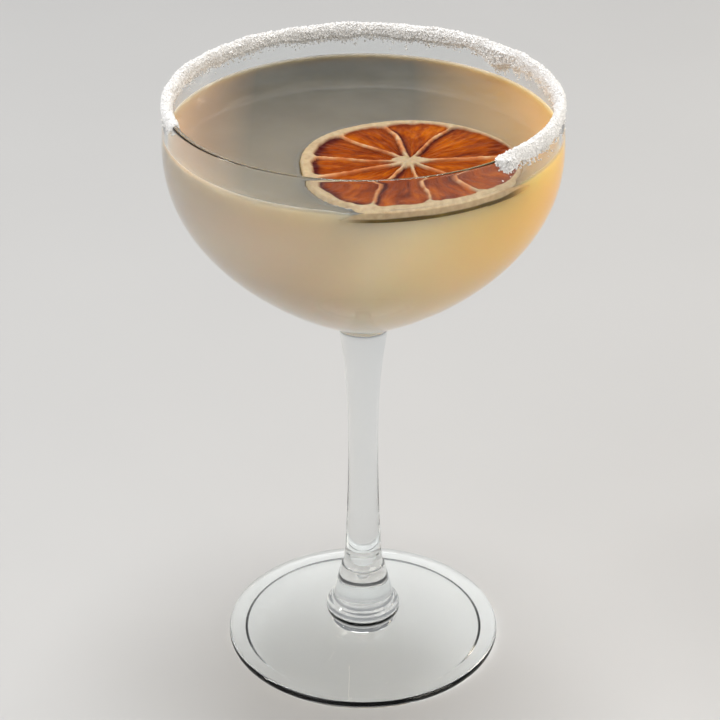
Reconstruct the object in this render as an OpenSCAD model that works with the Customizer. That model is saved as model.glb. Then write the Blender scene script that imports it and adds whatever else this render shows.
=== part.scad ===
// Margarita in a stemmed coupe glass, with a salted rim and a dried citrus wheel.
// The glass stands on its foot with its axis on +Z, and -Y is the front.

/* [Glass] */
// Height of the glass from the table to the rim
glass_h = 150; // [120:1:185]
// Outer diameter of the bowl at its widest
bowl_d = 94; // [78:1:115]
// How far the rim's outer diameter is drawn in from the widest diameter
rim_draw_in = 1.9; // [0:0.1:6]
// Thickness of the bowl's wall
wall = 1.3; // [0.9:0.1:2.5]
// Distance from the rim down to the widest place
widest_below_rim = 11.5; // [6:0.5:20]
// Depth of the bowl's outside below its widest place
bowl_depth = 50.5; // [40:0.5:62]
// Extra glass at the bottom of the bowl
bowl_bottom_t = 1.7; // [1:0.1:5]
// Fullness of the bowl: larger is rounder
bowl_power = 2.16; // [1.8:0.02:3]

/* [Stem and foot] */
// Diameter of the stem at its waist
stem_waist_d = 7.5; // [6:0.1:12]
// Diameter of the stem where it flows into the bowl
stem_top_d = 11.6; // [9:0.1:18]
// Diameter of the stem where it enters the knob
stem_foot_d = 9.8; // [8:0.1:12]
// Diameter of the knob's bead
knob_d = 19; // [16:0.5:26]
// Height of the knob's top above the table
knob_top_z = 21; // [19:0.5:28]
// Diameter of the foot
foot_d = 70; // [58:1:86]
// Thickness of the foot at its rounded edge
foot_edge_t = 2.2; // [1.6:0.1:3.5]
// Height of the foot's top where it meets the knob
foot_middle_h = 4.6; // [4:0.1:5.2]
// Width of the flat ring under the foot
foot_ring_w = 3; // [2:0.5:6]
// Height of the hollow inside that ring
foot_hollow_h = 0.8; // [0.3:0.1:1.2]

/* [Drink] */
// Distance from the rim down to the drink's surface
level_below_rim = 7.6; // [5:0.1:20]

/* [Citrus wheel] */
// Mean diameter of the wheel
wheel_d = 48.8; // [38:0.2:60]
// How far the wheel's one fuller side bulges out
wheel_bulge = 3.3; // [0:0.1:5]
// Thickness of the wheel
wheel_t = 4.2; // [3:0.1:6]
// Height of the wheel's top face above the drink
wheel_rise = 0.9; // [0.7:0.1:1.6]
// Distance from the wheel's core to the inside of the wall it leans on
wheel_core_to_wall = 22.64; // [20:0.01:45]
// Direction in which the wheel lies from the axis
wheel_az = -63; // [-180:1:180]
// Gap left where the wheel's rind is pressed flat along the wall of the bowl
wheel_gap = 0.2; // [0.1:0.05:2]
// Usual width of the pale ring between flesh and rind
pith_w = 2.2; // [1.8:0.1:4]
// Width of the membranes between the segments
membrane_w = 0.9; // [0.5:0.1:1.6]
// Depth to which the dried flesh has sunk
flesh_relief = 0.55; // [0.2:0.05:0.6]
// Radius of the pale core
hub_r = 2.4; // [1.5:0.1:3.5]

/* [Salt] */
// Angle at which the crust starts, anticlockwise from +X
salt_start_az = -50; // [-80:1:-20]
// Angle at which the crust ends
salt_end_az = 201; // [150:1:230]
// Usual thickness of the crust on the wall
salt_t = 0.6; // [0.4:0.05:1.2]
// Usual height of the crust above the rim
salt_top_t = 0.8; // [0.4:0.05:1.5]
// How far the crust usually reaches down inside the rim
salt_skirt_in = 2.7; // [1.8:0.1:5]
// How far the crust usually reaches down outside the rim
salt_skirt_out = 2.2; // [1.6:0.1:5]
// Clearance between the crust and the glass
salt_gap = 0.05; // [0.04:0.01:0.1]

/* [Hidden] */
$fn = 96;

bowl_r = bowl_d / 2;
rim_r = bowl_r - rim_draw_in / 2;
rim_mid_r = rim_r - wall / 2;
rim_round_z = glass_h - wall / 2;
widest_z = glass_h - widest_below_rim;
bowl_bottom_z = widest_z - bowl_depth;
level_z = glass_h - level_below_rim;
inner_depth = bowl_depth - bowl_bottom_t;
inner_r_max = bowl_r - wall;
inner_nose_r = 3;

stem_waist_share = 0.49;
stem_waist_z = knob_top_z + stem_waist_share * (bowl_bottom_z - knob_top_z);
stem_flare_power = 2.6;
stem_foot_power = 1.6;
rim_tuck_power = 1.6;
stem_bowl_blend = 5;
stem_flare_end_z = bowl_bottom_z + 6;

foot_r = foot_d / 2;
foot_edge_r = foot_edge_t / 2;
foot_ring_out_r = foot_r - foot_edge_r;
foot_ring_in_r = foot_ring_out_r - foot_ring_w;
hollow_slope_w = 0.8;
foot_top_power = 1.6;
bead_r = 3.2;
bead_mid_r = knob_d / 2 - bead_r;
bead_z = foot_middle_h + 3.4;
bead_from = -70;
bead_to = 52;
knob_base_r = bead_mid_r + bead_r * cos(bead_from);
shoulder_r = 0.6;
shoulder_mid_r = stem_foot_d / 2 + 0.1;
shoulder_z = knob_top_z - shoulder_r;
bell_base_r = bead_mid_r + 1.6;
bell_base_z = bead_z + 3.2;

stem_steps = 22;
bowl_steps = 34;
rim_steps = 6;
drink_steps = 30;
foot_steps = 10;

// points of an arc about a centre, from one angle to another
function arc(mid, r, from, to, n) =
    [for (i = [0:n]) let (a = from + (to - from) * i / n) mid + r * [cos(a), sin(a)]];

// bowl's radius below its widest place: it shrinks as a power of the depth
function bowl_curve(r_max, depth, z) = r_max * (1 - pow(max(0, widest_z - z) / depth, bowl_power));

// drawn-in radius between the widest place and the rim
function tuck_r(z) =
    bowl_r - (bowl_r - rim_r) * pow(max(0, z - widest_z) / (rim_round_z - widest_z), rim_tuck_power);

// stem's radius: it swells up into the bowl and down into the knob
function stem_r(z) =
    let (
        up = max(0, min(z, stem_flare_end_z) - stem_waist_z) / (bowl_bottom_z - stem_waist_z),
        down = max(0, stem_waist_z - z) / (stem_waist_z - knob_top_z)
    )
    (stem_waist_d + (stem_top_d - stem_waist_d) * pow(up, stem_flare_power)
        + (stem_foot_d - stem_waist_d) * pow(down, stem_foot_power)) / 2;

// outside of the glass above the knob, where stem and bowl flow into each other
function outer_r(z) =
    z > widest_z ? tuck_r(z)
    : pow(pow(max(0, bowl_curve(bowl_r, bowl_depth, z)), stem_bowl_blend)
        + pow(stem_r(z), stem_bowl_blend), 1 / stem_bowl_blend);

// inside of the bowl, with a rounded nose at the axis
function inner_r(z) =
    z > widest_z ? tuck_r(z) - wall
    : sqrt(max(0, pow(bowl_curve(inner_r_max, inner_depth, z), 2) - inner_nose_r * inner_nose_r)
        / (1 - pow(inner_nose_r / inner_r_max, 2)));

// lowest point of the inside
inner_bottom_z = widest_z - inner_depth * pow(1 - inner_nose_r / inner_r_max, 1 / bowl_power);

// inside of the bowl from the axis up to the drink's surface, closer together near the axis
inner_wet_points =
    [for (i = [0:drink_steps]) let (z = inner_bottom_z + (level_z - inner_bottom_z) * pow(i / drink_steps, 2))
        [i == 0 ? 0 : inner_r(z), z]];

// dry inside of the bowl from the drink's surface up to the rounded rim
inner_dry_points =
    [for (i = [1:rim_steps]) let (z = level_z + (rim_round_z - level_z) * i / rim_steps) [inner_r(z), z]];

function foot_top_z(r) =
    foot_edge_t + (foot_middle_h - foot_edge_t)
        * pow((foot_ring_out_r - r) / (foot_ring_out_r - knob_base_r), foot_top_power);

foot_points = concat(
    [[0, foot_hollow_h], [foot_ring_in_r - hollow_slope_w, foot_hollow_h], [foot_ring_in_r, 0]],
    arc([foot_ring_out_r, foot_edge_r], foot_edge_r, -90, 90, 10),
    [for (i = [1:foot_steps]) let (r = foot_ring_out_r + (knob_base_r - foot_ring_out_r) * i / foot_steps)
        [r, foot_top_z(r)]]
);

knob_points = concat(
    arc([bead_mid_r, bead_z], bead_r, bead_from, bead_to, 14),
    [[bell_base_r, bell_base_z]],
    arc([shoulder_mid_r, shoulder_z], shoulder_r, 10, 80, 4)
);

stem_points =
    [for (i = [0:stem_steps]) let (z = knob_top_z + (bowl_bottom_z - knob_top_z) * i / stem_steps)
        [outer_r(z), z]];

bowl_points =
    [for (i = [1:bowl_steps]) let (z = bowl_bottom_z + bowl_depth * pow(i / bowl_steps, 1.4))
        [outer_r(z), z]];

rim_points = concat(
    [for (i = [1:rim_steps]) let (z = widest_z + (rim_round_z - widest_z) * i / rim_steps) [outer_r(z), z]],
    arc([rim_mid_r, rim_round_z], wall / 2, 20, 160, 7)
);

module glass() {
    color([0.86, 0.9, 0.91, 0.45])
        rotate_extrude()
            polygon(concat(foot_points, knob_points, stem_points, bowl_points, rim_points,
                reversed(inner_dry_points), reversed(inner_wet_points)));
}

function reversed(points) = [for (i = [len(points) - 1:-1:0]) points[i]];

// The wheel is built about its core at the origin, on its bottom face.
// Angles of the membranes between the segments, as uneven as in a real fruit
membrane_az = [5, 67, 104, 136, 175, 205, 248, 279, 315];
segment_count = len(membrane_az);
// where the columns of points stand across a segment, besides those beside the membranes
segment_shares = [0.3, 0.5, 0.7];
column_count = segment_count * (5 + len(segment_shares));
wheel_stretch = 0.03;
bulge_az = -118;
bulge_half_w = 60;
wheel_wave = 0.008;
wall_blend = 40;
shoulder_w = 0.9;
wheel_chamfer = 0.8;
pith_uneven = 0.45;
pith_thick_az = 150;
flesh_slope_w = 0.7;
hub_rise = 0.3;
flesh_dome = 0.2;
wheel_warp = 0.12;
wheel_top_z = level_z + wheel_rise;
wheel_offset = inner_r(wheel_top_z) - wheel_core_to_wall;

// smooth bump, 1 at its middle and 0 past its half width
function bump(a, mid, half_w) =
    let (turn = abs(a - mid) % 360, u = min(turn, 360 - turn) / half_w)
    u >= 1 ? 0 : (1 + cos(180 * u)) / 2;

// how far a free wheel reaches: slightly oval and wavy, with one fuller side
function free_r(a) =
    wheel_d / 2 * (1 + wheel_stretch * cos(2 * a) + wheel_wave * sin(5 * a + 40))
    + wheel_bulge * bump(a, bulge_az, bulge_half_w);

// how far the wall of the bowl lets the wheel reach
function wall_reach(a) =
    let (wall_r = inner_r(wheel_top_z) - wheel_gap, turn = a - wheel_az)
    sqrt(pow(wall_r, 2) - pow(wheel_offset * sin(turn), 2)) - wheel_offset * cos(turn);

// outline of the rind: the free outline, pressed flat along the wall
function rind_r(a) =
    1 / pow(pow(1 / free_r(a), wall_blend) + pow(1 / wall_reach(a), wall_blend), 1 / wall_blend);

function pith_inner_r(a) = rind_r(a) - pith_w * (1 + pith_uneven * cos(a - pith_thick_az));

// angle of a column at radius r: the membranes keep their width all the way out
function column_az(i, r) =
    let (
        seg = floor(i / 8), k = i % 8,
        from = membrane_az[seg],
        to = seg + 1 < segment_count ? membrane_az[seg + 1] : membrane_az[0] + 360,
        near = min((to - from) / 6, atan2(membrane_w / 2, r)),
        slope = min((to - from) / 4, atan2(membrane_w / 2 + flesh_slope_w, r))
    )
    k == 0 ? from : k == 1 ? from + near : k == 2 ? from + slope
    : k == 6 ? to - slope : k == 7 ? to - near
    : from + slope + (to - from - 2 * slope) * segment_shares[k - 3];

function is_membrane(i) = i % 8 < 2 || i % 8 == 7;

// gentle saddle that drying has left in the wheel
function warp_z(a, r) = wheel_warp * pow(2 * r / wheel_d, 2) * cos(2 * a);

// one ring of points round the wheel at an inset from the rind
function rind_ring(z, inset) =
    [for (i = [0:column_count - 1]) let (a = column_az(i, wheel_d / 2), r = rind_r(a) - inset)
        [r * cos(a), r * sin(a), z + warp_z(a, r)]];

// one ring of points on the top face, at a share of the way from the core to the pith
function top_ring(share, sunk) =
    [for (i = [0:column_count - 1])
        let (
            r0 = hub_r + share * (pith_inner_r(column_az(i, wheel_d / 2)) - hub_r),
            a = column_az(i, r0),
            mid = 1 - abs((i % 8) - 4) / 4,
            drop = is_membrane(i) ? 0 : sunk * (flesh_relief - flesh_dome * mid)
        )
        [r0 * cos(a), r0 * sin(a), wheel_t - drop + warp_z(a, r0)]];

function hub_ring(share, rise) =
    [for (i = [0:column_count - 1]) let (a = column_az(i, hub_r), r = hub_r * share)
        [r * cos(a), r * sin(a), wheel_t + rise]];

// a closed skin over rings of points, with a flat bottom fan and a top point or fan
module ring_skin(rings, bottom_mid, top_mid) {
    n = len(rings[0]);
    points = concat([bottom_mid], [for (ring = rings) each ring], [top_mid]);
    last = 1 + (len(rings) - 1) * n;
    faces = concat(
        [for (i = [0:n - 1]) [0, 1 + i, 1 + (i + 1) % n]],
        [for (k = [0:len(rings) - 2], i = [0:n - 1]) let (p = 1 + k * n)
            each [[p + i, p + n + i, p + (i + 1) % n],
                  [p + (i + 1) % n, p + n + i, p + n + (i + 1) % n]]],
        [for (i = [0:n - 1]) [last + (i + 1) % n, last + i, len(points) - 1]]
    );
    polyhedron(points, faces);
}

// sides of the wheel, from its flat bottom up to the rounded shoulder of the pith
side_rings = [
    rind_ring(0, wheel_chamfer),
    rind_ring(wheel_chamfer, 0.1),
    rind_ring(0.4 * wheel_t, 0),
    rind_ring(0.7 * wheel_t, 0.25 * shoulder_w),
    rind_ring(0.9 * wheel_t, 0.6 * shoulder_w)
];

top_rings = [
    rind_ring(wheel_t, shoulder_w),
    top_ring(1, 0), top_ring(0.95, 0.8), top_ring(0.75, 1), top_ring(0.5, 1), top_ring(0.25, 1),
    top_ring(0.08, 0.8), hub_ring(1, hub_rise / 2), hub_ring(0.5, hub_rise)
];

module place_wheel() {
    translate([wheel_offset * cos(wheel_az), wheel_offset * sin(wheel_az), wheel_top_z - wheel_t])
        children();
}

module citrus_wheel() {
    color([0.78, 0.42, 0.12])
        place_wheel()
            ring_skin(concat(side_rings, top_rings), [0, 0, 0], [0, 0, wheel_t + hub_rise]);
}

// room for the wheel in the drink: its sides and bottom, carried up past the surface
module wheel_pocket() {
    place_wheel()
        ring_skin(concat(side_rings, [rind_ring(wheel_t + wheel_rise, shoulder_w)]),
            [0, 0, 0], [0, 0, wheel_t + wheel_rise]);
}

module drink() {
    color([0.86, 0.8, 0.64])
        difference() {
            rotate_extrude()
                polygon(concat(inner_wet_points, [[0, level_z]]));
            wheel_pocket();
        }
}

// The crust is an upturned channel over the rim, swept from its start to its end.
salt_steps = 100;
glob_az = 43;
glob_half_w = 9;
glob_drop = 2.6;
glob_t = 1.1;
start_blob_w = 7;
start_blob_drop = 1.5;
start_blob_t = 1.0;
end_taper_w = 24;
end_taper_share = 0.55;
teeth_from = 8;
teeth_to = 36;
teeth_depth = 1.1;

// uneven wave between about -1 and 1
function lumps(a, seed) =
    (sin(11 * a + seed) + 0.7 * sin(23 * a + 3 * seed) + 0.5 * sin(41 * a + 7 * seed)) / 1.8;

// the crust thins towards its far end
function taper(a) = 1 - (1 - end_taper_share) * pow(max(0, 1 - (salt_end_az - a) / end_taper_w), 2);

function teeth(a) = a < teeth_from || a > teeth_to ? 0 : teeth_depth * abs(sin(a * 28));

function skirt_in(a) =
    taper(a) * (salt_skirt_in * (1 + 0.22 * lumps(a, 20)) + glob_drop * bump(a, glob_az, glob_half_w)
        + teeth(a));

function skirt_out(a) =
    taper(a) * (salt_skirt_out * (1 + 0.2 * lumps(a, 75))
        + start_blob_drop * bump(a, salt_start_az + start_blob_w / 3, start_blob_w));

function crust_t(a, seed) = taper(a) * salt_t * (1 + 0.25 * lumps(a, seed));

// cross-section at one angle, as radius and height
function salt_section(a) =
    let (
        out_t = crust_t(a, 10) + start_blob_t * bump(a, salt_start_az + start_blob_w / 3, start_blob_w),
        in_t = crust_t(a, 50) + glob_t * bump(a, glob_az, glob_half_w),
        top_t = taper(a) * salt_top_t * (1 + 0.25 * lumps(a, 130)),
        out_z = glass_h - skirt_out(a),
        in_z = glass_h - skirt_in(a)
    )
    concat(
        [[outer_r(out_z) + salt_gap, out_z],
         [rim_r + out_t, out_z + 0.35 * (glass_h - out_z)],
         [rim_r + 0.85 * out_t, glass_h - 0.1],
         [rim_mid_r + 0.45 * wall, glass_h + top_t],
         [rim_mid_r - 0.45 * wall, glass_h + 0.92 * top_t],
         [rim_r - wall - 0.85 * in_t, glass_h - 0.1],
         [rim_r - wall - in_t, in_z + 0.35 * (glass_h - in_z)],
         [inner_r(in_z) - salt_gap, in_z]],
        arc([rim_mid_r, rim_round_z], wall / 2 + salt_gap, 180, 0, 6)
    );

module salt_rim() {
    sections = [for (k = [0:salt_steps])
        let (a = salt_start_az + (salt_end_az - salt_start_az) * k / salt_steps)
        [for (p = salt_section(a)) [p[0] * cos(a), p[0] * sin(a), p[1]]]];
    n = len(sections[0]);
    color([0.93, 0.92, 0.9])
        polyhedron(
            [for (section = sections) each section],
            concat(
                [[for (i = [0:n - 1]) i]],
                [for (k = [0:salt_steps - 1], i = [0:n - 1]) let (p = k * n)
                    each [[p + i, p + n + i, p + (i + 1) % n],
                          [p + (i + 1) % n, p + n + i, p + n + (i + 1) % n]]],
                [[for (i = [n - 1:-1:0]) salt_steps * n + i]]
            )
        );
}

glass();
drink();
citrus_wheel();
salt_rim();
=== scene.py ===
# Margarita in a salted coupe with a dried citrus wheel: finish, light and camera
import bpy
import math
import numpy as np
from mathutils import Matrix, Vector, noise


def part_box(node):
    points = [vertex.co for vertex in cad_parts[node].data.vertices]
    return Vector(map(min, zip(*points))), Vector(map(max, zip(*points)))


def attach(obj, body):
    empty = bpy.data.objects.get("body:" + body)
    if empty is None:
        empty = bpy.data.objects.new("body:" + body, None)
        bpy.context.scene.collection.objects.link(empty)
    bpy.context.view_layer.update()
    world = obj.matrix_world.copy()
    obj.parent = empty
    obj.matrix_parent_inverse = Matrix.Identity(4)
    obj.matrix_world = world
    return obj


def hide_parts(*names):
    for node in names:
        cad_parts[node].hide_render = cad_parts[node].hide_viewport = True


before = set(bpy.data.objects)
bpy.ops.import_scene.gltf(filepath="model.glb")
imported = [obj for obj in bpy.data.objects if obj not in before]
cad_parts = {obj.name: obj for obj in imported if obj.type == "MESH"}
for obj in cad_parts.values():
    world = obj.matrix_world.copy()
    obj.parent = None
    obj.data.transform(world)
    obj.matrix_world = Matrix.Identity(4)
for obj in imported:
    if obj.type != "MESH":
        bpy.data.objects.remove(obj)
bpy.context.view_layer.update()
mm = 0.001
print("frame loaded:", ", ".join(sorted(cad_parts)))

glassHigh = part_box("glass")[1]
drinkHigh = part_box("drink")[1]


def deselectAll():
    if bpy.context.object and bpy.context.object.mode != "OBJECT":
        bpy.ops.object.mode_set(mode="OBJECT")
    bpy.ops.object.select_all(action="DESELECT")


def arc(midR, midZ, radius, fromDeg, toDeg, steps):
    points = []
    for i in range(steps + 1):
        a = math.radians(fromDeg + (toDeg - fromDeg) * i / steps)
        points.append((midR + radius * math.cos(a), midZ + radius * math.sin(a)))
    return points


def bump(a, mid, halfWidth):
    # smooth bump over an angle in degrees: 1 at its middle, 0 past its half width
    turn = abs(a - mid) % 360
    u = min(turn, 360 - turn) / halfWidth
    return 0.0 if u >= 1 else (1 + math.cos(math.pi * u)) / 2


def spinOutline(name, outline, steps):
    # one point is drawn along the outline by extruding, then the line is spun about the axis
    deselectAll()
    bpy.ops.mesh.primitive_plane_add(size=0.001)
    piece = bpy.context.object
    piece.name = name
    piece.data.name = name
    bpy.ops.object.mode_set(mode="EDIT")
    bpy.ops.mesh.select_all(action="SELECT")
    bpy.ops.mesh.merge(type="CENTER")
    r, z = outline[0]
    bpy.ops.transform.translate(value=(r, 0, z))
    for nextR, nextZ in outline[1:]:
        bpy.ops.mesh.extrude_region_move(
            TRANSFORM_OT_translate={"value": (nextR - r, 0, nextZ - z)})
        r, z = nextR, nextZ
    bpy.ops.mesh.select_all(action="SELECT")
    bpy.ops.mesh.spin(steps=steps, angle=2 * math.pi, center=(0, 0, 0), axis=(0, 0, 1))
    bpy.ops.mesh.select_all(action="SELECT")
    bpy.ops.mesh.remove_doubles(threshold=0.000004)
    bpy.ops.mesh.normals_make_consistent(inside=False)
    bpy.ops.object.mode_set(mode="OBJECT")
    bpy.ops.object.shade_smooth()
    return piece


def meshFromArrays(name, points, faces):
    # many small shapes at once, from arrays of points and faces
    mesh = bpy.data.meshes.new(name)
    mesh.from_pydata(points.tolist(), [], faces.tolist())
    mesh.update()
    piece = bpy.data.objects.new(name, mesh)
    bpy.context.collection.objects.link(piece)
    return piece


def newMaterial(name):
    material = bpy.data.materials.new(name)
    material.use_nodes = True
    material.node_tree.nodes.clear()
    return material


def addNode(material, kind, **settings):
    node = material.node_tree.nodes.new(kind)
    for key, value in settings.items():
        if key in node.inputs.keys():
            node.inputs[key].default_value = value
        else:
            setattr(node, key, value)
    return node


def join(material, fromSocket, toSocket):
    material.node_tree.links.new(fromSocket, toSocket)


def ramp(material, source, stops):
    # colour ramp from a list of (place, colour)
    node = material.node_tree.nodes.new("ShaderNodeValToRGB")
    bar = node.color_ramp
    bar.elements[0].position, bar.elements[0].color = stops[0][0], (*stops[0][1], 1)
    bar.elements[1].position, bar.elements[1].color = stops[-1][0], (*stops[-1][1], 1)
    for place, colour in stops[1:-1]:
        bar.elements.new(place).color = (*colour, 1)
    join(material, source, node.inputs["Fac"])
    return node.outputs["Color"]


def mixColours(material, share, first, second, blend="MIX"):
    node = material.node_tree.nodes.new("ShaderNodeMix")
    node.data_type = "RGBA"
    node.blend_type = blend
    for socket, value in ((node.inputs[0], share), (node.inputs[6], first), (node.inputs[7], second)):
        if isinstance(value, bpy.types.NodeSocket):
            join(material, value, socket)
        elif isinstance(value, (int, float)):
            socket.default_value = value
        else:
            socket.default_value = (*value, 1)
    return node.outputs[2]


def maths(material, operation, first, second=0.0, third=0.0):
    node = material.node_tree.nodes.new("ShaderNodeMath")
    node.operation = operation
    for socket, value in zip(node.inputs, (first, second, third)):
        if isinstance(value, bpy.types.NodeSocket):
            join(material, value, socket)
        else:
            socket.default_value = value
    return node.outputs[0]


def remap(material, source, fromMin, fromMax, toMin, toMax):
    node = material.node_tree.nodes.new("ShaderNodeMapRange")
    join(material, source, node.inputs["Value"])
    for key, value in (("From Min", fromMin), ("From Max", fromMax), ("To Min", toMin), ("To Max", toMax)):
        node.inputs[key].default_value = value
    return node.outputs["Result"]


def objectNoise(material, scale, detail=3.0, stretch=(1, 1, 1), roughness=0.5):
    place = material.node_tree.nodes.new("ShaderNodeTexCoord")
    mapping = material.node_tree.nodes.new("ShaderNodeMapping")
    mapping.inputs["Scale"].default_value = stretch
    texture = material.node_tree.nodes.new("ShaderNodeTexNoise")
    texture.inputs["Scale"].default_value = scale
    texture.inputs["Detail"].default_value = detail
    texture.inputs["Roughness"].default_value = roughness
    join(material, place.outputs["Object"], mapping.inputs["Vector"])
    join(material, mapping.outputs["Vector"], texture.inputs["Vector"])
    return texture.outputs["Fac"]


def objectAxis(material, axis):
    place = material.node_tree.nodes.new("ShaderNodeTexCoord")
    split = material.node_tree.nodes.new("ShaderNodeSeparateXYZ")
    join(material, place.outputs["Object"], split.inputs[0])
    return split.outputs[axis]


def bumpNode(material, height, strength, distance):
    node = material.node_tree.nodes.new("ShaderNodeBump")
    node.inputs["Strength"].default_value = strength
    node.inputs["Distance"].default_value = distance
    join(material, height, node.inputs["Height"])
    return node.outputs["Normal"]


def finishWith(material, shader):
    output = material.node_tree.nodes.new("ShaderNodeOutputMaterial")
    join(material, shader, output.inputs["Surface"])


glassSet = {
    "height": glassHigh[2],
    "bowlRadius": 47.0 * mm,
    "rimDrawIn": 0.95 * mm,
    "wall": 1.3 * mm,
    "widestBelowRim": 11.5 * mm,
    "bowlDepth": 50.5 * mm,
    "bottomExtra": 1.7 * mm,
    "fullness": 2.16,
    "nose": 3.0 * mm,
    "tuckPower": 1.6,
    "stemWaist": 3.75 * mm,
    "stemTop": 5.8 * mm,
    "stemFoot": 4.9 * mm,
    "waistShare": 0.49,
    "flarePower": 2.6,
    "footPower": 1.6,
    "flareRun": 6.0 * mm,
    "flow": 5,
    "knobTop": 21.0 * mm,
    "knob": 9.5 * mm,
    "bead": 3.2 * mm,
    "foot": 35.0 * mm,
    "footEdge": 1.1 * mm,
    "footMiddle": 4.6 * mm,
    "footRing": 3.0 * mm,
    "footHollow": 0.8 * mm,
    "hollowShoulder": 0.9 * mm,
    "beadRise": 3.4 * mm,
    "bellOut": 1.6 * mm,
    "bellRise": 3.2 * mm,
    "knobEdge": 0.6 * mm,
    "knobStep": 0.1 * mm,
    "footSlope": 1.6,
    "stemSteps": 30,
    "bowlSteps": 52,
    "tuckSteps": 8,
    "steps": 144,
    "tint": (0.90, 0.92, 0.925, 1),
    "mirror": (0.65, 0.65, 0.65, 1),
    "shadowTint": (0.975, 0.98, 0.98, 1),
    "ior": 1.5,
}
g = glassSet
g["widest"] = g["height"] - g["widestBelowRim"]
g["bowlBottom"] = g["widest"] - g["bowlDepth"]
g["rimRadius"] = g["bowlRadius"] - g["rimDrawIn"]
g["rimMiddle"] = g["rimRadius"] - g["wall"] / 2
g["rimTurn"] = g["height"] - g["wall"] / 2
g["waist"] = g["knobTop"] + g["waistShare"] * (g["bowlBottom"] - g["knobTop"])
g["innerDepth"] = g["bowlDepth"] - g["bottomExtra"]
g["innerWidest"] = g["bowlRadius"] - g["wall"]
g["noseShare"] = g["nose"] / g["innerWidest"]
g["innerBottom"] = g["widest"] - g["innerDepth"] * (1 - g["noseShare"]) ** (1 / g["fullness"])


def bowlCurve(widest, depth, z):
    return widest * (1 - (max(0.0, g["widest"] - z) / depth) ** g["fullness"])


def tuckRadius(z):
    up = max(0.0, z - g["widest"]) / (g["rimTurn"] - g["widest"])
    return g["bowlRadius"] - g["rimDrawIn"] * up ** g["tuckPower"]


def stemRadius(z):
    up = max(0.0, min(z, g["bowlBottom"] + g["flareRun"]) - g["waist"]) / (g["bowlBottom"] - g["waist"])
    down = max(0.0, g["waist"] - z) / (g["waist"] - g["knobTop"])
    return (g["stemWaist"] + (g["stemTop"] - g["stemWaist"]) * up ** g["flarePower"]
            + (g["stemFoot"] - g["stemWaist"]) * down ** g["footPower"])


def outerRadius(z):
    if z > g["widest"]:
        return tuckRadius(z)
    bowl = max(0.0, bowlCurve(g["bowlRadius"], g["bowlDepth"], z))
    return (bowl ** g["flow"] + stemRadius(z) ** g["flow"]) ** (1 / g["flow"])


def innerRadius(z):
    if z > g["widest"]:
        return tuckRadius(z) - g["wall"]
    r = bowlCurve(g["innerWidest"], g["innerDepth"], z)
    return math.sqrt(max(0.0, r * r - g["nose"] ** 2) / (1 - g["noseShare"] ** 2))


def footOutline():
    ringOut = g["foot"] - g["footEdge"]
    ringIn = ringOut - g["footRing"]
    beadMiddle = g["knob"] - g["bead"]
    beadZ = g["footMiddle"] + g["beadRise"]
    baseR = beadMiddle + g["bead"] * math.cos(math.radians(-70))
    edgeTop = 2 * g["footEdge"]
    outline = [(ringIn * i / 8, g["footHollow"]) for i in range(8)]
    for i in range(9):  # soft shoulder from the hollow down to the flat ring
        u = i / 8
        drop = g["footHollow"] * (1 + math.cos(math.pi * u)) / 2
        outline.append((ringIn - g["hollowShoulder"] * (1 - u), drop))
    outline += arc(ringOut, g["footEdge"], g["footEdge"], -90, 90, 14)
    for i in range(1, 19):
        r = ringOut + (baseR - ringOut) * i / 18
        rise = ((ringOut - r) / (ringOut - baseR)) ** g["footSlope"]
        outline.append((r, edgeTop + (g["footMiddle"] - edgeTop) * rise))
    outline += arc(beadMiddle, beadZ, g["bead"], -66, 52, 18)
    bellR, bellZ = beadMiddle + g["bellOut"], beadZ + g["bellRise"]
    topR, topZ = g["stemFoot"] + g["knobStep"] + g["knobEdge"], g["knobTop"] - g["knobEdge"]
    for i in range(8):  # bell between the bead and the shoulder
        u = i / 7
        outline.append((bellR + (topR - bellR) * u, bellZ + (topZ - bellZ) * u))
    outline += arc(topR - g["knobEdge"], topZ, g["knobEdge"], 18, 82, 5)
    return outline


def glassOutline():
    # outside upwards, over the rim, then inside downwards; points close up where the curve is tight
    outline = footOutline()
    stem, bowl, tuck = g["stemSteps"], g["bowlSteps"], g["tuckSteps"]
    for i in range(1, stem + 1):
        z = g["knobTop"] + (g["bowlBottom"] - g["knobTop"]) * i / stem
        outline.append((outerRadius(z), z))
    for i in range(1, bowl + 1):
        z = g["bowlBottom"] + g["bowlDepth"] * (i / bowl) ** 1.4
        outline.append((outerRadius(z), z))
    for i in range(1, tuck + 1):
        z = g["widest"] + (g["rimTurn"] - g["widest"]) * i / tuck
        outline.append((outerRadius(z), z))
    outline += arc(g["rimMiddle"], g["rimTurn"], g["wall"] / 2, 18, 162, 9)
    for i in range(tuck + 1):
        z = g["rimTurn"] - (g["rimTurn"] - g["widest"]) * i / tuck
        outline.append((innerRadius(z), z))
    for i in range(1, bowl + 1):
        z = g["innerBottom"] + (g["widest"] - g["innerBottom"]) * (1 - i / bowl) ** 2
        outline.append((innerRadius(z), z))
    outline[-1] = (0.0, g["innerBottom"])
    return outline


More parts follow.
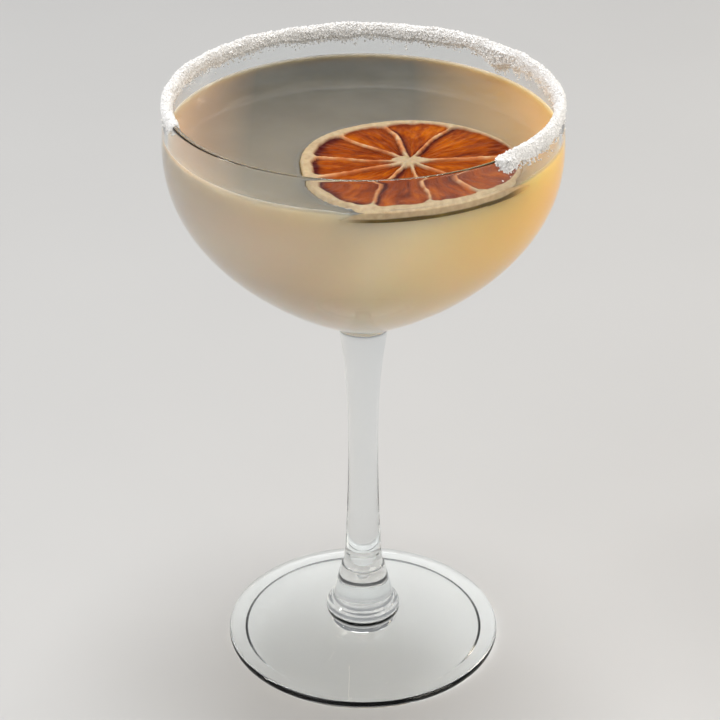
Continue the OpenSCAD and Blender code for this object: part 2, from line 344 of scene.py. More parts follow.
def clearGlass():
    material = newMaterial("clearGlass")
    body = addNode(material, "ShaderNodeBsdfPrincipled", **{
        "Base Color": g["tint"], "IOR": g["ior"], "Transmission Weight": 1.0, "Specular Tint": g["mirror"]})
    smears = remap(material, objectNoise(material, 90, 2, (1, 1, 0.3)), 0.45, 0.75, 0.0, 0.035)
    join(material, smears, body.inputs["Roughness"])
    ripple = objectNoise(material, 45, 2, (1, 1, 0.25))
    join(material, bumpNode(material, ripple, 0.12, 0.0006), body.inputs["Normal"])
    # lamps shine through, so that the drink and the floor are lit
    lampPath = addNode(material, "ShaderNodeLightPath")
    clear = addNode(material, "ShaderNodeBsdfTransparent", Color=g["shadowTint"])
    mix = addNode(material, "ShaderNodeMixShader")
    join(material, lampPath.outputs["Is Shadow Ray"], mix.inputs[0])
    join(material, body.outputs[0], mix.inputs[1])
    join(material, clear.outputs[0], mix.inputs[2])
    finishWith(material, mix.outputs[0])
    return material


def makeGlass():
    piece = spinOutline("coupeGlass", glassOutline(), g["steps"])
    piece.data.materials.append(clearGlass())
    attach(piece, "root")
    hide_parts("glass")
    print("glass:", len(piece.data.polygons), "faces")
    return piece


drinkSet = {
    "level": drinkHigh[2],
    "intoWall": 0.12 * mm,
    "meniscusHeight": 0.45 * mm,
    "meniscusReach": 0.9 * mm,
    "meniscusStep": 0.25 * mm,
    "wheelMeniscus": 0.45 * mm,
    "wheelReach": 0.9 * mm,
    "calmFrom": 1.2 * mm,  # the wall's meniscus dies out this near the wheel
    "calmTo": 3.5 * mm,
    "clearFrom": 0.2 * mm,  # and the wheel's meniscus this near the wall
    "clearTo": 2.5 * mm,
    "underWheel": 1.6 * mm,
    "underRun": 1.0 * mm,
    "wallSteps": 60,
    "meniscusSteps": 21,
    "surfaceSteps": 90,
    "steps": 192,
    # side colours: the drink's own pale cream, with painted shade on the left and painted warm light on the
    # right
    "leftSideWithPaintedShade": (0.57, 0.505, 0.43),
    "middleSide": (0.97, 0.79, 0.545),
    "rightSideWithPaintedWarmLight": (0.99, 0.57, 0.12),
    # painted shade: the side is toned down below the open surface, where light also comes in from above,
    # and only a little on the right, under the wheel
    "openShade": [(0.0, 0.51), (0.17, 0.63), (0.3, 0.73), (0.5, 0.84), (0.75, 0.94), (1.0, 1.0)],
    "wheelShade": [(0.0, 0.92), (1.0, 1.0)],
    "shadeDepth": 20 * mm,
    # painted shade on the open top: darker than the sides and darkest towards the back, lighter and warmer
    # towards the left and right edges
    "shadedTopBack": (0.10, 0.096, 0.080),
    "shadedTopFront": (0.27, 0.235, 0.18),
    "shadedTopLeft": (0.53, 0.36, 0.235),
    "shadedTopRight": (0.58, 0.36, 0.15),
    "clouds": (1.0, 0.93, 0.8),
    "cloudShare": 0.04,
    # where the tints start and end, across the drink and from back to front
    "sideSpan": (-42 * mm, 44 * mm),
    "frontSpan": (30 * mm, -30 * mm),
    "leftSpan": (-26 * mm, -44 * mm),
    "rightSpan": (12 * mm, 46 * mm),
}


def drinkOutline():
    d = drinkSet
    outline = []
    for i in range(d["wallSteps"] + 1):
        up = i / d["wallSteps"]
        z = g["innerBottom"] + (d["level"] - g["innerBottom"]) * up ** 2
        outline.append((innerRadius(z) + d["intoWall"], z - d["intoWall"] * (1 - up)))
    outline[0] = (0.0, outline[0][1])
    edge = innerRadius(d["level"]) + d["intoWall"]
    for i in range(1, 5):
        outline.append((edge, d["level"] + d["meniscusHeight"] * i / 4))
    for i in range(1, d["meniscusSteps"] + 1):  # meniscus falling away from the wall
        r = edge - d["meniscusStep"] * i
        fall = math.exp(-(edge - r) / d["meniscusReach"])
        outline.append((r, d["level"] + d["meniscusHeight"] * fall))
    edge = outline[-1][0]
    for i in range(1, d["surfaceSteps"] + 1):
        outline.append((edge * (1 - i / d["surfaceSteps"]), d["level"]))
    return outline


def greys(stops):
    return [(place, (value, value, value)) for place, value in stops]


def drinkTintAndPaintedLight(material):
    # the drink's own pale cream, with painted shade making it grey-beige on the left and painted warm light
    # making it amber on the right; its top has painted shade, darkest towards the back
    d = drinkSet
    across = objectAxis(material, "X")
    # painted shade on the left side and painted warm light on the right side
    warm = remap(material, across, *d["sideSpan"], 0.0, 1.0)
    sides = ramp(material, warm, [(0.0, d["leftSideWithPaintedShade"]), (0.5, d["middleSide"]), (1.0, d["rightSideWithPaintedWarmLight"])])
    # painted shade on the top, darkest at the back, lighter and warmer at the left and right edges
    forward = remap(material, objectAxis(material, "Y"), *d["frontSpan"], 0.0, 1.0)
    top = mixColours(material, forward, d["shadedTopBack"], d["shadedTopFront"])
    top = mixColours(material, remap(material, across, *d["leftSpan"], 0.0, 0.8), top, d["shadedTopLeft"])
    amber = remap(material, across, *d["rightSpan"], 0.0, 1.0)
    top = mixColours(material, amber, top, d["shadedTopRight"])
    height = objectAxis(material, "Z")
    # painted shade on the side just below the open surface, milder on the right under the wheel
    depth = remap(material, height, d["level"], d["level"] - d["shadeDepth"], 0.0, 1.0)
    openShade = ramp(material, depth, greys(d["openShade"]))
    wheelShade = ramp(material, depth, greys(d["wheelShade"]))
    shade = mixColours(material, remap(material, warm, 0.42, 0.62, 0.0, 1.0), openShade, wheelShade)
    sides = mixColours(material, 1.0, sides, shade, "MULTIPLY")
    upper = remap(material, height, d["level"] - 0.7 * mm, d["level"] - 0.1 * mm, 0.0, 1.0)
    tint = mixColours(material, upper, sides, top)
    clouds = objectNoise(material, 55, 3)
    cloudy = remap(material, clouds, 0.4, 0.75, 0.0, d["cloudShare"])
    return mixColours(material, cloudy, tint, d["clouds"])


def cloudyDrink():
    material = newMaterial("cloudyDrink")
    body = addNode(material, "ShaderNodeBsdfPrincipled", **{
        "Roughness": 0.05, "IOR": 1.34, "Subsurface Weight": 1.0, "Subsurface Scale": 0.022,
        "Subsurface Radius": (1.0, 0.8, 0.55)})
    join(material, drinkTintAndPaintedLight(material), body.inputs["Base Color"])
    finishWith(material, body.outputs[0])
    return material


def makeDrink():
    d = drinkSet
    piece = spinOutline("cloudyDrink", drinkOutline(), d["steps"])
    for vertex in piece.data.vertices:  # the drink climbs a little up the wheel's side
        if vertex.co.z > d["level"] - 0.01 * mm:
            away = wheelDistance(vertex.co.x, vertex.co.y)
            calm = smoothStep(d["calmFrom"], d["calmTo"], away)
            vertex.co.z = d["level"] + (vertex.co.z - d["level"]) * calm
            fromWall = innerRadius(d["level"]) - math.hypot(vertex.co.x, vertex.co.y)
            if away > 0:
                climb = d["wheelMeniscus"] * math.exp(-away / d["wheelReach"])
                vertex.co.z += climb * smoothStep(d["clearFrom"], d["clearTo"], fromWall)
            else:
                dip = d["underWheel"] * smoothStep(0.0, d["underRun"], -away)
                vertex.co.z += d["wheelMeniscus"] - dip
    piece.data.materials.append(cloudyDrink())
    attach(piece, "root")
    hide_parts("drink")
    print("drink:", len(piece.data.polygons), "faces")
    return piece


wheelSet = {
    "radius": 24.4 * mm,
    "bulge": 3.3 * mm,
    "bulgeAt": -118,
    "bulgeHalf": 60,
    "coreToWall": 22.64 * mm,
    "towards": -63,
    "gap": 0.2 * mm,
    "thickness": 4.2 * mm,
    "rise": 0.9 * mm,
    "pith": 1.95 * mm,
    "pithThickAt": 165,
    "membranes": [5, 67, 104, 136, 175, 205, 245, 279, 317],
    "membraneWidths": [0.8, 0.3, 0.8, 0.5, 0.35, 0.8, 0.35, 0.35, 0.7],  # mm
    "relief": 0.6 * mm,
    "seenThrough": 2.4 * mm,
    "seenLower": 0.78,
    "fadeDepth": 2.0 * mm,
    # dark flesh beside each membrane, before and after it in turn: partly painted shade in the crease at
    # the raised membrane, partly the flesh's own darker tone
    "stainsAndShade": [
        (0.1, 0.3), (1.4, 0.15), (0.9, 0.5), (0.2, 0.5), (0.25, 0.15),
        (0.15, 0.2), (0.15, 1.4), (0.2, 0.15), (0.15, 0.3)],
    # dark flesh along the outer arc of the segment after each membrane: partly painted shade in the crease
    # at the pith, partly the flesh's own darker tone
    "arcStainsAndShade": [0.3, 0.45, 0.4, 1.4, 1.4, 1.3, 0.2, 0.15, 0.3],
    "pastWall": 0.22 * mm,
    "core": 2.4 * mm,
    "shoulder": 0.9 * mm,
    "lowerEdge": 0.8 * mm,
    "pressing": 40,  # how sharply the free outline gives way to the wall
    "columns": 360,
    "allRings": 66,
    "faceRings": 62,
    "sideRings": 24,
    "bottomRings": 18,
    "bottomShare": 0.97,
    "fleshTones": [
        (0.36, (0.11, 0.012, 0.001)), (0.44, (0.215, 0.032, 0.001)), (0.53, (0.33, 0.06, 0.001)),
        (0.64, (0.52, 0.125, 0.002))],
    "stainAndShadeTone": (0.065, 0.005, 0.004),
    "pithTones": [(0.25, (0.43, 0.31, 0.185)), (0.7, (0.57, 0.44, 0.275))],
    "membraneTones": [
        (0.35, (0.46, 0.12, 0.035)), (0.52, (0.60, 0.26, 0.105)), (0.65, (0.70, 0.44, 0.24))],
    "rindTones": [
        (0.3, (0.06, 0.035, 0.002)), (0.55, (0.12, 0.075, 0.004)), (0.75, (0.24, 0.17, 0.02))],
    "drinkVeil": (0.95, 0.94, 0.93),
}
w = wheelSet
w["top"] = drinkSet["level"] + w["rise"]
w["offset"] = innerRadius(w["top"]) - w["coreToWall"]
w["middleX"] = w["offset"] * math.cos(math.radians(w["towards"]))
w["middleY"] = w["offset"] * math.sin(math.radians(w["towards"]))


def rindRadius(a):
    # free outline of the wheel, pressed flat along the wall
    wave = 0.03 * math.cos(math.radians(2 * a)) + 0.008 * math.sin(math.radians(5 * a + 40))
    free = w["radius"] * (1 + wave)
    free += w["bulge"] * bump(a, w["bulgeAt"], w["bulgeHalf"])
    wallRadius = innerRadius(w["top"]) - w["gap"]
    turn = math.radians(a - w["towards"])
    reach = math.sqrt(wallRadius ** 2 - (w["offset"] * math.sin(turn)) ** 2) - w["offset"] * math.cos(turn)
    return (free ** -w["pressing"] + reach ** -w["pressing"]) ** (-1 / w["pressing"])


def wheelDistance(x, y):
    dx, dy = x - w["middleX"], y - w["middleY"]
    return math.hypot(dx, dy) - rindRadius(math.degrees(math.atan2(dy, dx)))


def smoothStep(low, high, value):
    u = min(1.0, max(0.0, (value - low) / (high - low)))
    return u * u * (3 - 2 * u)


def nearestMembrane(a, r):
    # distance from the nearest membrane, its half width and index, and the side of it (0 or 1)
    best, half, index, side = 1.0, 0.0005, 0, 1
    for i, at in enumerate(w["membranes"]):
        sway = 3.0 * math.sin(r / (6.5 * mm) + 1.7 * i) + 1.2 * math.sin(r / (2.6 * mm) + 2.9 * i)
        turn = math.radians((a - at - sway + 180) % 360 - 180)
        away = abs(r * math.sin(turn)) if abs(turn) < math.pi / 2 else r
        if away < best:
            best, half, index, side = away, w["membraneWidths"][i] * mm / 2, i, int(turn > 0)
    return best, half, index, side


def wheelSurface(a, r, rind):
    # height above the wheel's top plane at a place on its top face, and the shares of flesh and dark edge
    x, y = r * math.cos(math.radians(a)), r * math.sin(math.radians(a))
    near, half, index, side = nearestMembrane(a, r)
    spot = Vector((x, y, 0)) * 1000
    pith = w["pith"] * (1 + 0.5 * math.cos(math.radians(a - w["pithThickAt"])))
    pith += 0.45 * mm * noise.noise(spot * 0.25) + 0.2 * mm * noise.noise(spot * 0.8)
    corner = 1.2 * mm * math.exp(-(near / (1.1 * mm)) ** 2)
    fleshEnd = rind - pith - corner
    star = 0.3 * math.sin(math.radians(3 * a + 20)) + 0.35 * math.cos(math.radians(2 * a))
    coreEnd = 1.05 * w["core"] * (1 + star + 0.4 * noise.noise(spot * 0.5))
    rough = 0.22 * mm * noise.noise(spot * 0.7) + 0.1 * mm * noise.noise(spot * 1.9)
    inside = smoothStep(half * 0.5, half + 0.4 * mm, near + rough)
    inside *= smoothStep(-0.2 * mm, 0.35 * mm, fleshEnd - r)
    inside *= smoothStep(coreEnd, coreEnd + 0.9 * mm, r + rough)
    # dark edge: partly painted shade in the creases beside the membranes and along the pith, partly the
    # flesh's own darker tone
    edge = math.exp(-(max(0.0, near - half - 0.25 * mm) / (0.9 * mm)) ** 2)
    rim = math.exp(-(max(0.0, fleshEnd - r) / (1.6 * mm)) ** 2)
    patchy = 1.0 + 0.8 * noise.noise(spot * 0.28 + Vector((3.0, 1.0, 5.0)))
    arcStainAndShade = w["arcStainsAndShade"][index if side else index - 1]
    darkness = min(1.0, patchy * max(edge * w["stainsAndShade"][index][side], rim * arcStainAndShade)) * inside
    # flesh: sunk, with swollen sacs that lie along the radius
    u = Vector((math.cos(math.radians(a)), math.sin(math.radians(a)), 0.0))
    sacs = noise.noise(u * 9 + Vector((0.0, 0.0, r / (5.0 * mm))))
    sacs += 0.6 * noise.noise(u * 22 + Vector((0.0, 4.0, r / (2.8 * mm))))
    sunk = w["relief"] * (1.0 - 0.3 * smoothStep(0.0, 4.0 * mm, near)) - 0.22 * mm * sacs
    height = -inside * sunk
    # membranes and pith: raised and a little wrinkled
    height += (1 - inside) * (0.06 * mm * noise.noise(spot * 0.9) + 0.04 * mm * noise.noise(spot * 2.3))
    height += 0.3 * mm * math.exp(-(r / (0.8 * w["core"])) ** 2) * (1 + noise.noise(spot * 0.8))
    height += 0.12 * mm * (r / w["radius"]) ** 2 * math.cos(math.radians(2 * a))
    return height, inside, min(1.0, max(0.0, darkness))


def wheelOutline():
    # outline of a plain puck, shaped afterwards: top, side, bottom
    side, bottom = w["sideRings"], w["bottomRings"]
    outline = [(i / w["allRings"], 1.0) for i in range(w["faceRings"] + 1)]
    outline += [(1.0 + 0.001 * i, 1.0 - i / side) for i in range(1, side)]
    outline += [(w["bottomShare"] * (1 - i / bottom), 0.0) for i in range(bottom + 1)]
    return [(r * w["radius"], z * w["thickness"]) for r, z in outline]


def towardsWall(spot, inset):
    # where the side comes near the glass it shows through the cloudy drink, fading with its distance
    x, y, z = spot.x + w["middleX"], spot.y + w["middleY"], spot.z + w["top"] - w["thickness"]
    out = math.hypot(x, y)
    gap = innerRadius(z) - out
    if spot.z < 0.35 * mm or gap > w["seenThrough"] or math.degrees(math.atan2(y, x)) > -15:
        return spot, 0.0
    level = drinkSet["level"]
    under = z < level - 0.12 * mm
    z = max(z, level + (z - level) * w["seenLower"])
    share = 1.0
    if under:  # only a thin line of the rind is left where the side fades out
        middle = level - w["fadeDepth"]
        z = middle + (z - middle) * (1 - 0.85 * smoothStep(0.9 * mm, w["seenThrough"], gap))
    else:
        share = 1 - smoothStep(level - 0.1 * mm, level + 0.85 * mm, z)
        share *= 1 - smoothStep(0.5 * mm, 1.5 * mm, gap - inset)
    k = 1 + share * ((innerRadius(z) + w["pastWall"]) / out - 1)
    spot = Vector((x * k - w["middleX"], y * k - w["middleY"], z - w["top"] + w["thickness"]))
    return spot, smoothStep(0.4 * mm, 0.9 * w["seenThrough"], gap) if under else 0.0


def makeWheel():
    piece = spinOutline("citrusWheel", wheelOutline(), w["columns"])
    mesh = piece.data
    masks = {key: [] for key in ("flesh", "darkEdge", "rind", "core", "pithShare", "veil")}
    thick = w["thickness"]
    for vertex in mesh.vertices:
        x, y, z = vertex.co
        a = math.degrees(math.atan2(y, x))
        share = math.hypot(x, y) / w["radius"]
        rind = rindRadius(a)
        spot = Vector((x, y, z)) * 1000
        flesh = dark = skin = 0.0
        if z > thick - 0.001 * mm and share < 0.95:  # top face
            r = share * w["allRings"] / w["faceRings"] * (rind - w["shoulder"])
            rise, flesh, dark = wheelSurface(a, r, rind)
            vertex.co.z = thick + rise
        elif z > 0.001 * mm:  # shoulder and side, sloping outwards and then straight down
            down = 1 - z / thick
            out = w["shoulder"] * (1 - min(1.0, down / 0.55)) ** 2.2
            under = w["lowerEdge"] * max(0.0, (down - 0.8) / 0.2) ** 2
            r = rind - out - under + 0.1 * mm * noise.noise(spot * 0.6)
            warp = 0.12 * mm * math.cos(math.radians(2 * a))
            vertex.co.z = z + warp * (1 - down)
            rindFrom = 0.14 + 0.48 * min(1.0, 1.7 * bump(a, -75, 95))
            skin = smoothStep(rindFrom - 0.04, rindFrom + 0.06, down + 0.06 * noise.noise(spot * 0.25))
        else:  # bottom
            r = share / w["bottomShare"] * (rind - w["lowerEdge"])
            skin = smoothStep(rind - 1.6 * mm, rind - 1.2 * mm, r)
            near, half = nearestMembrane(a, r)[:2]
            flesh = smoothStep(half * 0.7, half + 0.35 * mm, near)
            flesh *= smoothStep(-0.2 * mm, 0.3 * mm, rind - 3 * mm - r)
            vertex.co.z = 0.25 * mm * flesh
        k = math.hypot(x, y)
        if k > 1e-7:
            vertex.co.x, vertex.co.y = x / k * r, y / k * r
        vertex.co, veil = towardsWall(vertex.co, rind - r)
        coreMask = 1 - smoothStep(1.4 * w["core"], 3.0 * w["core"], r)
        masks["flesh"].append(flesh)
        masks["darkEdge"].append(dark)
        masks["rind"].append(skin)
        masks["core"].append(coreMask)
        masks["veil"].append(veil)
        masks["pithShare"].append(smoothStep(rind - 5 * mm, rind - 2.8 * mm, r))
    mesh.transform(Matrix.Translation((w["middleX"], w["middleY"], w["top"] - thick)))
    for key, values in masks.items():
        mesh.attributes.new(key, "FLOAT", "POINT").data.foreach_set("value", values)
    mesh.update()
    mesh.materials.append(driedCitrus())
    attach(piece, "root")
    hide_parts("citrus_wheel")
    print("citrus wheel:", len(mesh.polygons), "faces")
    return piece


def mask(material, name):
    return addNode(material, "ShaderNodeAttribute", attribute_name=name).outputs["Fac"]


def sacNoise(material, around, along, detail):
    # noise drawn out along the wheel's radius, as juice sacs lie
    place = addNode(material, "ShaderNodeTexCoord")
    centre = addNode(material, "ShaderNodeVectorMath", operation="SUBTRACT")
    centre.inputs[1].default_value = (w["middleX"], w["middleY"], 0)
    join(material, place.outputs["Object"], centre.inputs[0])
    flat = addNode(material, "ShaderNodeVectorMath", operation="MULTIPLY")
    flat.inputs[1].default_value = (1, 1, 0)
    join(material, centre.outputs[0], flat.inputs[0])
    length = addNode(material, "ShaderNodeVectorMath", operation="LENGTH")
    join(material, flat.outputs[0], length.inputs[0])
    spoke = addNode(material, "ShaderNodeVectorMath", operation="NORMALIZE")
    join(material, flat.outputs[0], spoke.inputs[0])
    turn = addNode(material, "ShaderNodeVectorMath", operation="SCALE")
    turn.inputs["Scale"].default_value = around
    join(material, spoke.outputs[0], turn.inputs[0])
    split = addNode(material, "ShaderNodeSeparateXYZ")
    join(material, turn.outputs[0], split.inputs[0])
    spread = addNode(material, "ShaderNodeCombineXYZ")
    join(material, split.outputs["X"], spread.inputs["X"])
    join(material, split.outputs["Y"], spread.inputs["Y"])
    join(material, maths(material, "MULTIPLY", length.outputs["Value"], along), spread.inputs["Z"])
    texture = addNode(material, "ShaderNodeTexNoise", Scale=1.0, Detail=detail, Roughness=0.55)
    join(material, spread.outputs[0], texture.inputs["Vector"])
    return texture.outputs["Fac"]


def driedCitrus():
    material = newMaterial("driedCitrus")
    broad = sacNoise(material, 5.0, 120, 3)
    fineSacs = sacNoise(material, 17.0, 380, 3)
    patches = objectNoise(material, 130, 2)
    broadPart = maths(material, "MULTIPLY", broad, 0.45)
    finePart = maths(material, "MULTIPLY", fineSacs, 0.3)
    patchPart = maths(material, "MULTIPLY", patches, 0.25)
    tone = maths(material, "ADD", maths(material, "ADD", broadPart, finePart), patchPart)
    fleshColour = ramp(material, tone, w["fleshTones"])
    # flesh darkened by the dark-edge mask: partly painted shade, partly its own darker tone
    darkened = mixColours(material, mask(material, "darkEdge"), fleshColour, w["stainAndShadeTone"])
    fine = objectNoise(material, 700, 3)
    pithColour = ramp(material, fine, w["pithTones"])
    membraneTone = sacNoise(material, 3.0, 210, 2)
    membraneColour = ramp(material, membraneTone, w["membraneTones"])
    solid = mixColours(material, mask(material, "pithShare"), membraneColour, pithColour)
    solid = mixColours(material, mask(material, "core"), solid, pithColour)
    faces = mixColours(material, mask(material, "flesh"), solid, darkened)
    rindColour = ramp(material, objectNoise(material, 160, 3), w["rindTones"])
    coloured = mixColours(material, mask(material, "rind"), faces, rindColour)
    drinkColour = mixColours(material, 1.0, drinkTintAndPaintedLight(material), w["drinkVeil"], "MULTIPLY")
    veiled = mixColours(material, mask(material, "veil"), coloured, drinkColour)
    body = addNode(material, "ShaderNodeBsdfPrincipled", **{
        "IOR": 1.38, "Specular IOR Level": 0.1, "Subsurface Weight": 0.25, "Subsurface Scale": 0.0012,
        "Subsurface Radius": (1.0, 0.4, 0.15)})
    join(material, veiled, body.inputs["Base Color"])
    join(material, remap(material, mask(material, "flesh"), 0, 1, 0.6, 0.3), body.inputs["Roughness"])
    surface = maths(material, "ADD", fineSacs, maths(material, "MULTIPLY", fine, 0.5))
    join(material, bumpNode(material, surface, 0.4, 0.0004), body.inputs["Normal"])
    finishWith(material, body.outputs[0])
    return material


saltSet = {
    "fromAz": -50,
    "toAz": 201,
    "side": 0.6 * mm,
    "top": 0.8 * mm,
    "skirtIn": 2.7 * mm,
    "skirtOut": 2.2 * mm,
    "gap": 0.03 * mm,
    "globAt": 43,
    "globHalf": 9,
    "globDrop": 2.6 * mm,
    "globExtra": 1.1 * mm,
    "blobHalf": 7,
    "blobDrop": 1.5 * mm,
    "blobExtra": 1.0 * mm,
    "taperRun": 24,
    "taperShare": 0.55,
    "teethFrom": 8,
    "teethTo": 36,
    "teethDepth": 1.1 * mm,
    "raggedBroad": 0.3 * mm,
    "raggedFine": 0.28 * mm,
    "thinnest": 0.03 * mm,
    "leastDrop": 0.7 * mm,
    "coreShare": 0.55,
    "coreSteps": 260,
    "endRound": 3.2,
    "sections": 400,
    "fringe": 0.13,  # share of stray grains on the glass below the hems
    "fringeInside": 0.65,
    "fringeDrop": 0.45 * mm,
    "grains": 15500,
    "grainSmall": 0.22 * mm,
    "grainLarge": 0.52 * mm,
    "seed": 11,
    "tones": [(0.3, (0.9, 0.89, 0.88)), (0.65, (0.98, 0.975, 0.97))],
}
s = saltSet


def lumps(a, seed):
    wave = math.sin(math.radians(11 * a + seed)) + 0.7 * math.sin(math.radians(23 * a + 3 * seed))
    return (wave + 0.5 * math.sin(math.radians(41 * a + 7 * seed))) / 1.8


def taper(a):
    return 1 - (1 - s["taperShare"]) * max(0.0, 1 - (s["toAz"] - a) / s["taperRun"]) ** 2


def endRounding(a):
    # the crust closes in a rounded end at both sides
    u = min(1.0, (a - s["fromAz"]) / s["endRound"], (s["toAz"] - a) / s["endRound"])
    return math.sqrt(max(0.0, 1 - (1 - max(0.0, u)) ** 2))


def ragged(a, seed):
    broad = s["raggedBroad"] * noise.noise(Vector((a * 0.35, seed, 0)))
    return broad + s["raggedFine"] * noise.noise(Vector((a * 1.3, seed, 5)))


def saltSection(a, share):
    # outer side of the crust at one angle, from its outer hem over the rim to its inner hem
    blob = bump(a, s["fromAz"] + s["blobHalf"] / 3, s["blobHalf"])
    glob = bump(a, s["globAt"], s["globHalf"])
    teeth = 0.0
    if s["teethFrom"] < a < s["teethTo"]:
        teeth = s["teethDepth"] * abs(math.sin(math.radians(28 * a)))
    thick = share * endRounding(a)
    outSide = taper(a) * s["side"] * (1 + 0.25 * lumps(a, 10)) + s["blobExtra"] * blob
    inSide = taper(a) * s["side"] * (1 + 0.25 * lumps(a, 50)) + s["globExtra"] * glob
    outT = s["thinnest"] + thick * outSide
    inT = s["thinnest"] + thick * inSide
    topT = s["thinnest"] + thick * taper(a) * s["top"] * (1 + 0.25 * lumps(a, 130))
    rim, wall = g["rimRadius"], g["wall"]
    fall = taper(a) * (0.35 + 0.65 * endRounding(a))
    outZ = g["height"] - fall * (s["skirtOut"] * (1 + 0.2 * lumps(a, 75)) + s["blobDrop"] * blob)
    inZ = g["height"] - fall * (s["skirtIn"] * (1 + 0.22 * lumps(a, 20)) + s["globDrop"] * glob + teeth)
    outZ = min(outZ + ragged(a, 2.0), g["height"] - s["leastDrop"])
    inZ = min(inZ + ragged(a, 9.0), g["height"] - s["leastDrop"])
    return [
        (outerRadius(outZ) + s["gap"], outZ),
        (rim + outT, outZ + 0.35 * (g["height"] - outZ)),
        (rim + 0.85 * outT, g["height"] - 0.1 * mm),
        (g["rimMiddle"] + 0.45 * wall, g["height"] + topT),
        (g["rimMiddle"] - 0.45 * wall, g["height"] + 0.92 * topT),
        (rim - wall - 0.85 * inT, g["height"] - 0.1 * mm),
        (rim - wall - inT, inZ + 0.35 * (g["height"] - inZ)),
        (innerRadius(inZ) - s["gap"], inZ),
    ]


def saltCore():
    # firm inside of the crust: a plain channel spun round, then laid along the crust's own section
    start = math.radians(s["fromAz"])
    under = arc(g["rimMiddle"], g["rimTurn"], g["wall"] / 2 + s["gap"], 180, 0, 6)
    plain = saltSection(90, s["coreShare"]) + under
    deselectAll()
    bpy.ops.mesh.primitive_circle_add(vertices=len(plain), radius=0.001)
    piece = bpy.context.object
    piece.name = "saltCrust"
    piece.data.name = "saltCrust"
    for vertex, (r, z) in zip(piece.data.vertices, plain):
        vertex.co = (r * math.cos(start), r * math.sin(start), z)
    bpy.ops.object.mode_set(mode="EDIT")
    bpy.ops.mesh.select_all(action="SELECT")
    bpy.ops.mesh.edge_face_add()
    turn = math.radians(s["toAz"] - s["fromAz"])
    bpy.ops.mesh.spin(steps=s["coreSteps"], angle=-turn, center=(0, 0, 0), axis=(0, 0, 1))
    bpy.ops.mesh.select_all(action="SELECT")
    bpy.ops.mesh.normals_make_consistent(inside=False)
    bpy.ops.object.mode_set(mode="OBJECT")
    for vertex in piece.data.vertices:
        x, y, z = vertex.co
        r = math.hypot(x, y)
        at = min(range(len(plain)), key=lambda i: abs(plain[i][0] - r) + abs(plain[i][1] - z))
        if at < 8:
            a = math.degrees(math.atan2(y, x))
            a = a + 360 if a < s["fromAz"] - 5 else a
            r, z = saltSection(a, s["coreShare"])[at]
            k = r / math.hypot(x, y)
            vertex.co = (x * k, y * k, z)
    return piece


def grainPlaces():
    rng = np.random.default_rng(s["seed"])
    count, span = s["sections"], s["toAz"] - s["fromAz"]
    sections = np.array([saltSection(s["fromAz"] + span * i / count, 1.0) for i in range(count + 1)])
    places, sizes = [], []
    for _ in range(s["grains"]):
        at = rng.random() * (count - 0.01)
        i, u = int(at), at % 1
        section = sections[i] * (1 - u) + sections[i + 1] * u
        lengths = np.hypot(*(section[1:] - section[:-1]).T)
        reach = rng.random() * lengths.sum()
        k = 0
        while k < 6 and reach > lengths[k]:
            reach -= lengths[k]
            k += 1
        along = section[k + 1] - section[k]
        spot = section[k] + along * min(1.0, reach / lengths[k])
        size = s["grainSmall"] + (s["grainLarge"] - s["grainSmall"]) * rng.random() ** 1.6
        inwards = np.array((-along[1], along[0])) / lengths[k]
        depth = 0.35 * size + 0.22 * mm * rng.random() ** 2 - 0.12 * mm * rng.random()
        spot = spot + inwards * depth
        a = math.radians(s["fromAz"] + span * at / count)
        if rng.random() < s["fringe"]:
            inner = rng.random() < s["fringeInside"]
            hem = section[7] if inner else section[0]
            z = hem[1] - rng.exponential(s["fringeDrop"])
            size *= 0.8
            side = innerRadius(z) - 0.35 * size if inner else outerRadius(z) + 0.35 * size
            spot = np.array((side, z))
        places.append((spot[0] * math.cos(a), spot[0] * math.sin(a), spot[1]))
        sizes.append(size)
    return rng, np.array(places), np.array(sizes)


def saltGrains():
    rng, places, sizes = grainPlaces()
    corners = np.array([(x, y, z) for x in (-1, 1) for y in (-1, 1) for z in (-1, 1)]) / 2
    sides = np.array([(0, 1, 3, 2), (4, 6, 7, 5), (0, 4, 5, 1), (2, 3, 7, 6), (0, 2, 6, 4), (1, 5, 7, 3)])
    count = len(places)
    turns = rng.normal(size=(count, 4))
    turns /= np.linalg.norm(turns, axis=1)[:, None]
    qw, qx, qy, qz = turns.T
    rotation = np.stack([
        1 - 2 * (qy * qy + qz * qz), 2 * (qx * qy - qz * qw), 2 * (qx * qz + qy * qw),
        2 * (qx * qy + qz * qw), 1 - 2 * (qx * qx + qz * qz), 2 * (qy * qz - qx * qw),
        2 * (qx * qz - qy * qw), 2 * (qy * qz + qx * qw), 1 - 2 * (qx * qx + qy * qy),
    ], axis=1).reshape(count, 3, 3)
    shape = corners[None] * (1 + 0.35 * (rng.random((count, 1, 3)) - 0.5))
    shape = shape * (1 + 0.3 * (rng.random((count, 8, 1)) - 0.5)) * sizes[:, None, None]
    points = np.einsum("nij,nkj->nki", rotation, shape) + places[:, None, :]
    faces = sides[None] + 8 * np.arange(count)[:, None, None]
    return meshFromArrays("saltGrains", points.reshape(-1, 3), faces.reshape(-1, 4))


def whiteSalt():
    material = newMaterial("whiteSalt")
    tint = ramp(material, objectNoise(material, 700, 2), s["tones"])
    body = addNode(material, "ShaderNodeBsdfPrincipled", **{"Roughness": 0.3, "IOR": 1.54})
    join(material, tint, body.inputs["Base Color"])
    finishWith(material, body.outputs[0])
    return material


def makeSalt():
    core = saltCore()
    grains = saltGrains()
    deselectAll()
    grains.select_set(True)
    core.select_set(True)
    bpy.context.view_layer.objects.active = core
    bpy.ops.object.join()
    piece = bpy.context.object
    piece.data.materials.append(whiteSalt())
    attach(piece, "root")
    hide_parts("salt_rim")
    print("salt:", len(piece.data.polygons), "faces")
    return piece


makeGlass()
makeWheel()
makeDrink()
makeSalt()


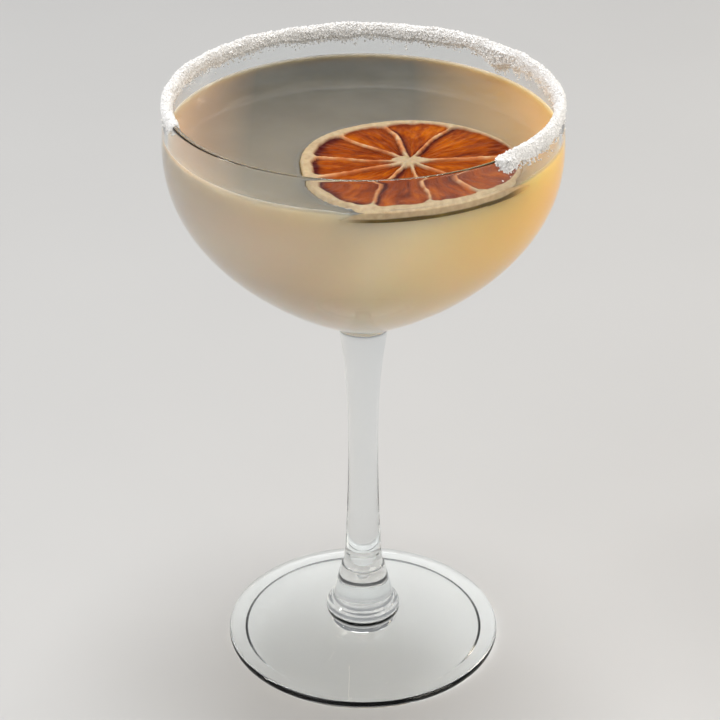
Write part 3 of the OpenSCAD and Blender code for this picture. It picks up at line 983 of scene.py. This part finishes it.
stageSet = {
    "floorTint": (0.55, 0.55, 0.55),
    "floorPale": (0.57, 0.57, 0.57),
    "floorSize": 8,
    "floorDrop": 0.15 * mm,
    "worldLow": 0.36,
    "worldHigh": 0.22,
    "worldTint": (0.97, 0.985, 1, 1),
    "floorRoughness": 0.6,
    "cameraAt": (-0.0008, -0.4924, 0.3565),
    "cameraTilt": 60.73,
    "lens": 114.87,
    "sensor": 36,
    "clipStart": 0.01,
    # name, place, aim, width and height, power, colour
    "lamps": [
        ("frontLeftSoftbox", (-0.7, -0.6, 0.8), (0, 0, 0.11), (0.8, 0.8), 2.4, (1.0, 0.98, 0.95)),
        ("frontRightFill", (0.75, -0.5, 0.5), (0, 0, 0.11), (0.6, 0.6), 3.1, (1.0, 0.93, 0.82)),
        ("rightWarmSoftbox", (0.75, 0.35, 0.5), (0, 0, 0.12), (0.16, 0.5), 1.9, (1.0, 0.87, 0.70)),
        ("leftStrip", (-0.8, -0.06, 0.68), (0, 0, 0.14), (0.1, 0.55), 3.6, (1.0, 0.99, 0.97)),
        ("ceilingSoftbox", (0.1, 0.4, 2.2), (0, 0, 0.1), (0.9, 0.9), 26, (1, 1, 1)),
    ],
}


def makeFloor():
    deselectAll()
    bpy.ops.mesh.primitive_plane_add(size=stageSet["floorSize"])
    floor = bpy.context.object
    floor.name = "paleFloor"
    floor.data.transform(Matrix.Translation((0, 0, -stageSet["floorDrop"])))
    material = newMaterial("paleFloor")
    mottle = objectNoise(material, 6, 3)
    tint = ramp(material, mottle, [(0.3, stageSet["floorTint"]), (0.7, stageSet["floorPale"])])
    body = addNode(material, "ShaderNodeBsdfPrincipled", **{"Roughness": stageSet["floorRoughness"]})
    join(material, tint, body.inputs["Base Color"])
    finishWith(material, body.outputs[0])
    floor.data.materials.append(material)


def areaLight(name, place, aim, size, power, colour):
    lamp = bpy.data.lights.new(name, "AREA")
    lamp.shape = "RECTANGLE"
    lamp.size, lamp.size_y = size
    lamp.energy = power
    lamp.color = colour
    holder = bpy.data.objects.new(name, lamp)
    bpy.context.collection.objects.link(holder)
    holder.location = place
    holder.rotation_euler = (Vector(aim) - Vector(place)).to_track_quat("-Z", "Y").to_euler()


def makeWorld():
    world = bpy.data.worlds.new("softRoom")
    bpy.context.scene.world = world
    world.use_nodes = True
    tree = world.node_tree
    place = tree.nodes.new("ShaderNodeTexCoord")
    split = tree.nodes.new("ShaderNodeSeparateXYZ")
    fade = tree.nodes.new("ShaderNodeMapRange")
    tree.links.new(place.outputs["Generated"], split.inputs[0])
    tree.links.new(split.outputs["Z"], fade.inputs["Value"])
    fade.inputs["To Min"].default_value = stageSet["worldLow"]
    fade.inputs["To Max"].default_value = stageSet["worldHigh"]
    tree.links.new(fade.outputs["Result"], tree.nodes["Background"].inputs["Strength"])
    tree.nodes["Background"].inputs["Color"].default_value = stageSet["worldTint"]


def makeCamera():
    lens = bpy.data.cameras.new("camera")
    lens.lens = stageSet["lens"]
    lens.sensor_width = stageSet["sensor"]
    lens.clip_start = stageSet["clipStart"]
    camera = bpy.data.objects.new("camera", lens)
    bpy.context.collection.objects.link(camera)
    camera.location = stageSet["cameraAt"]
    camera.rotation_euler = (math.radians(stageSet["cameraTilt"]), 0, 0)
    bpy.context.scene.camera = camera


makeFloor()
makeWorld()
for lamp in stageSet["lamps"]:
    areaLight(*lamp)
makeCamera()

view = bpy.context.scene.view_settings
view.view_transform = "Standard"
view.look = "None"
cycles = bpy.context.scene.cycles
cycles.use_denoising = True
cycles.max_bounces = 24
cycles.diffuse_bounces = 8
cycles.transmission_bounces = 20
cycles.transparent_max_bounces = 16
cycles.caustics_refractive = True
cycles.caustics_reflective = True
cycles.sample_clamp_indirect = 4
cycles.blur_glossy = 1.0
print("lights and camera placed")
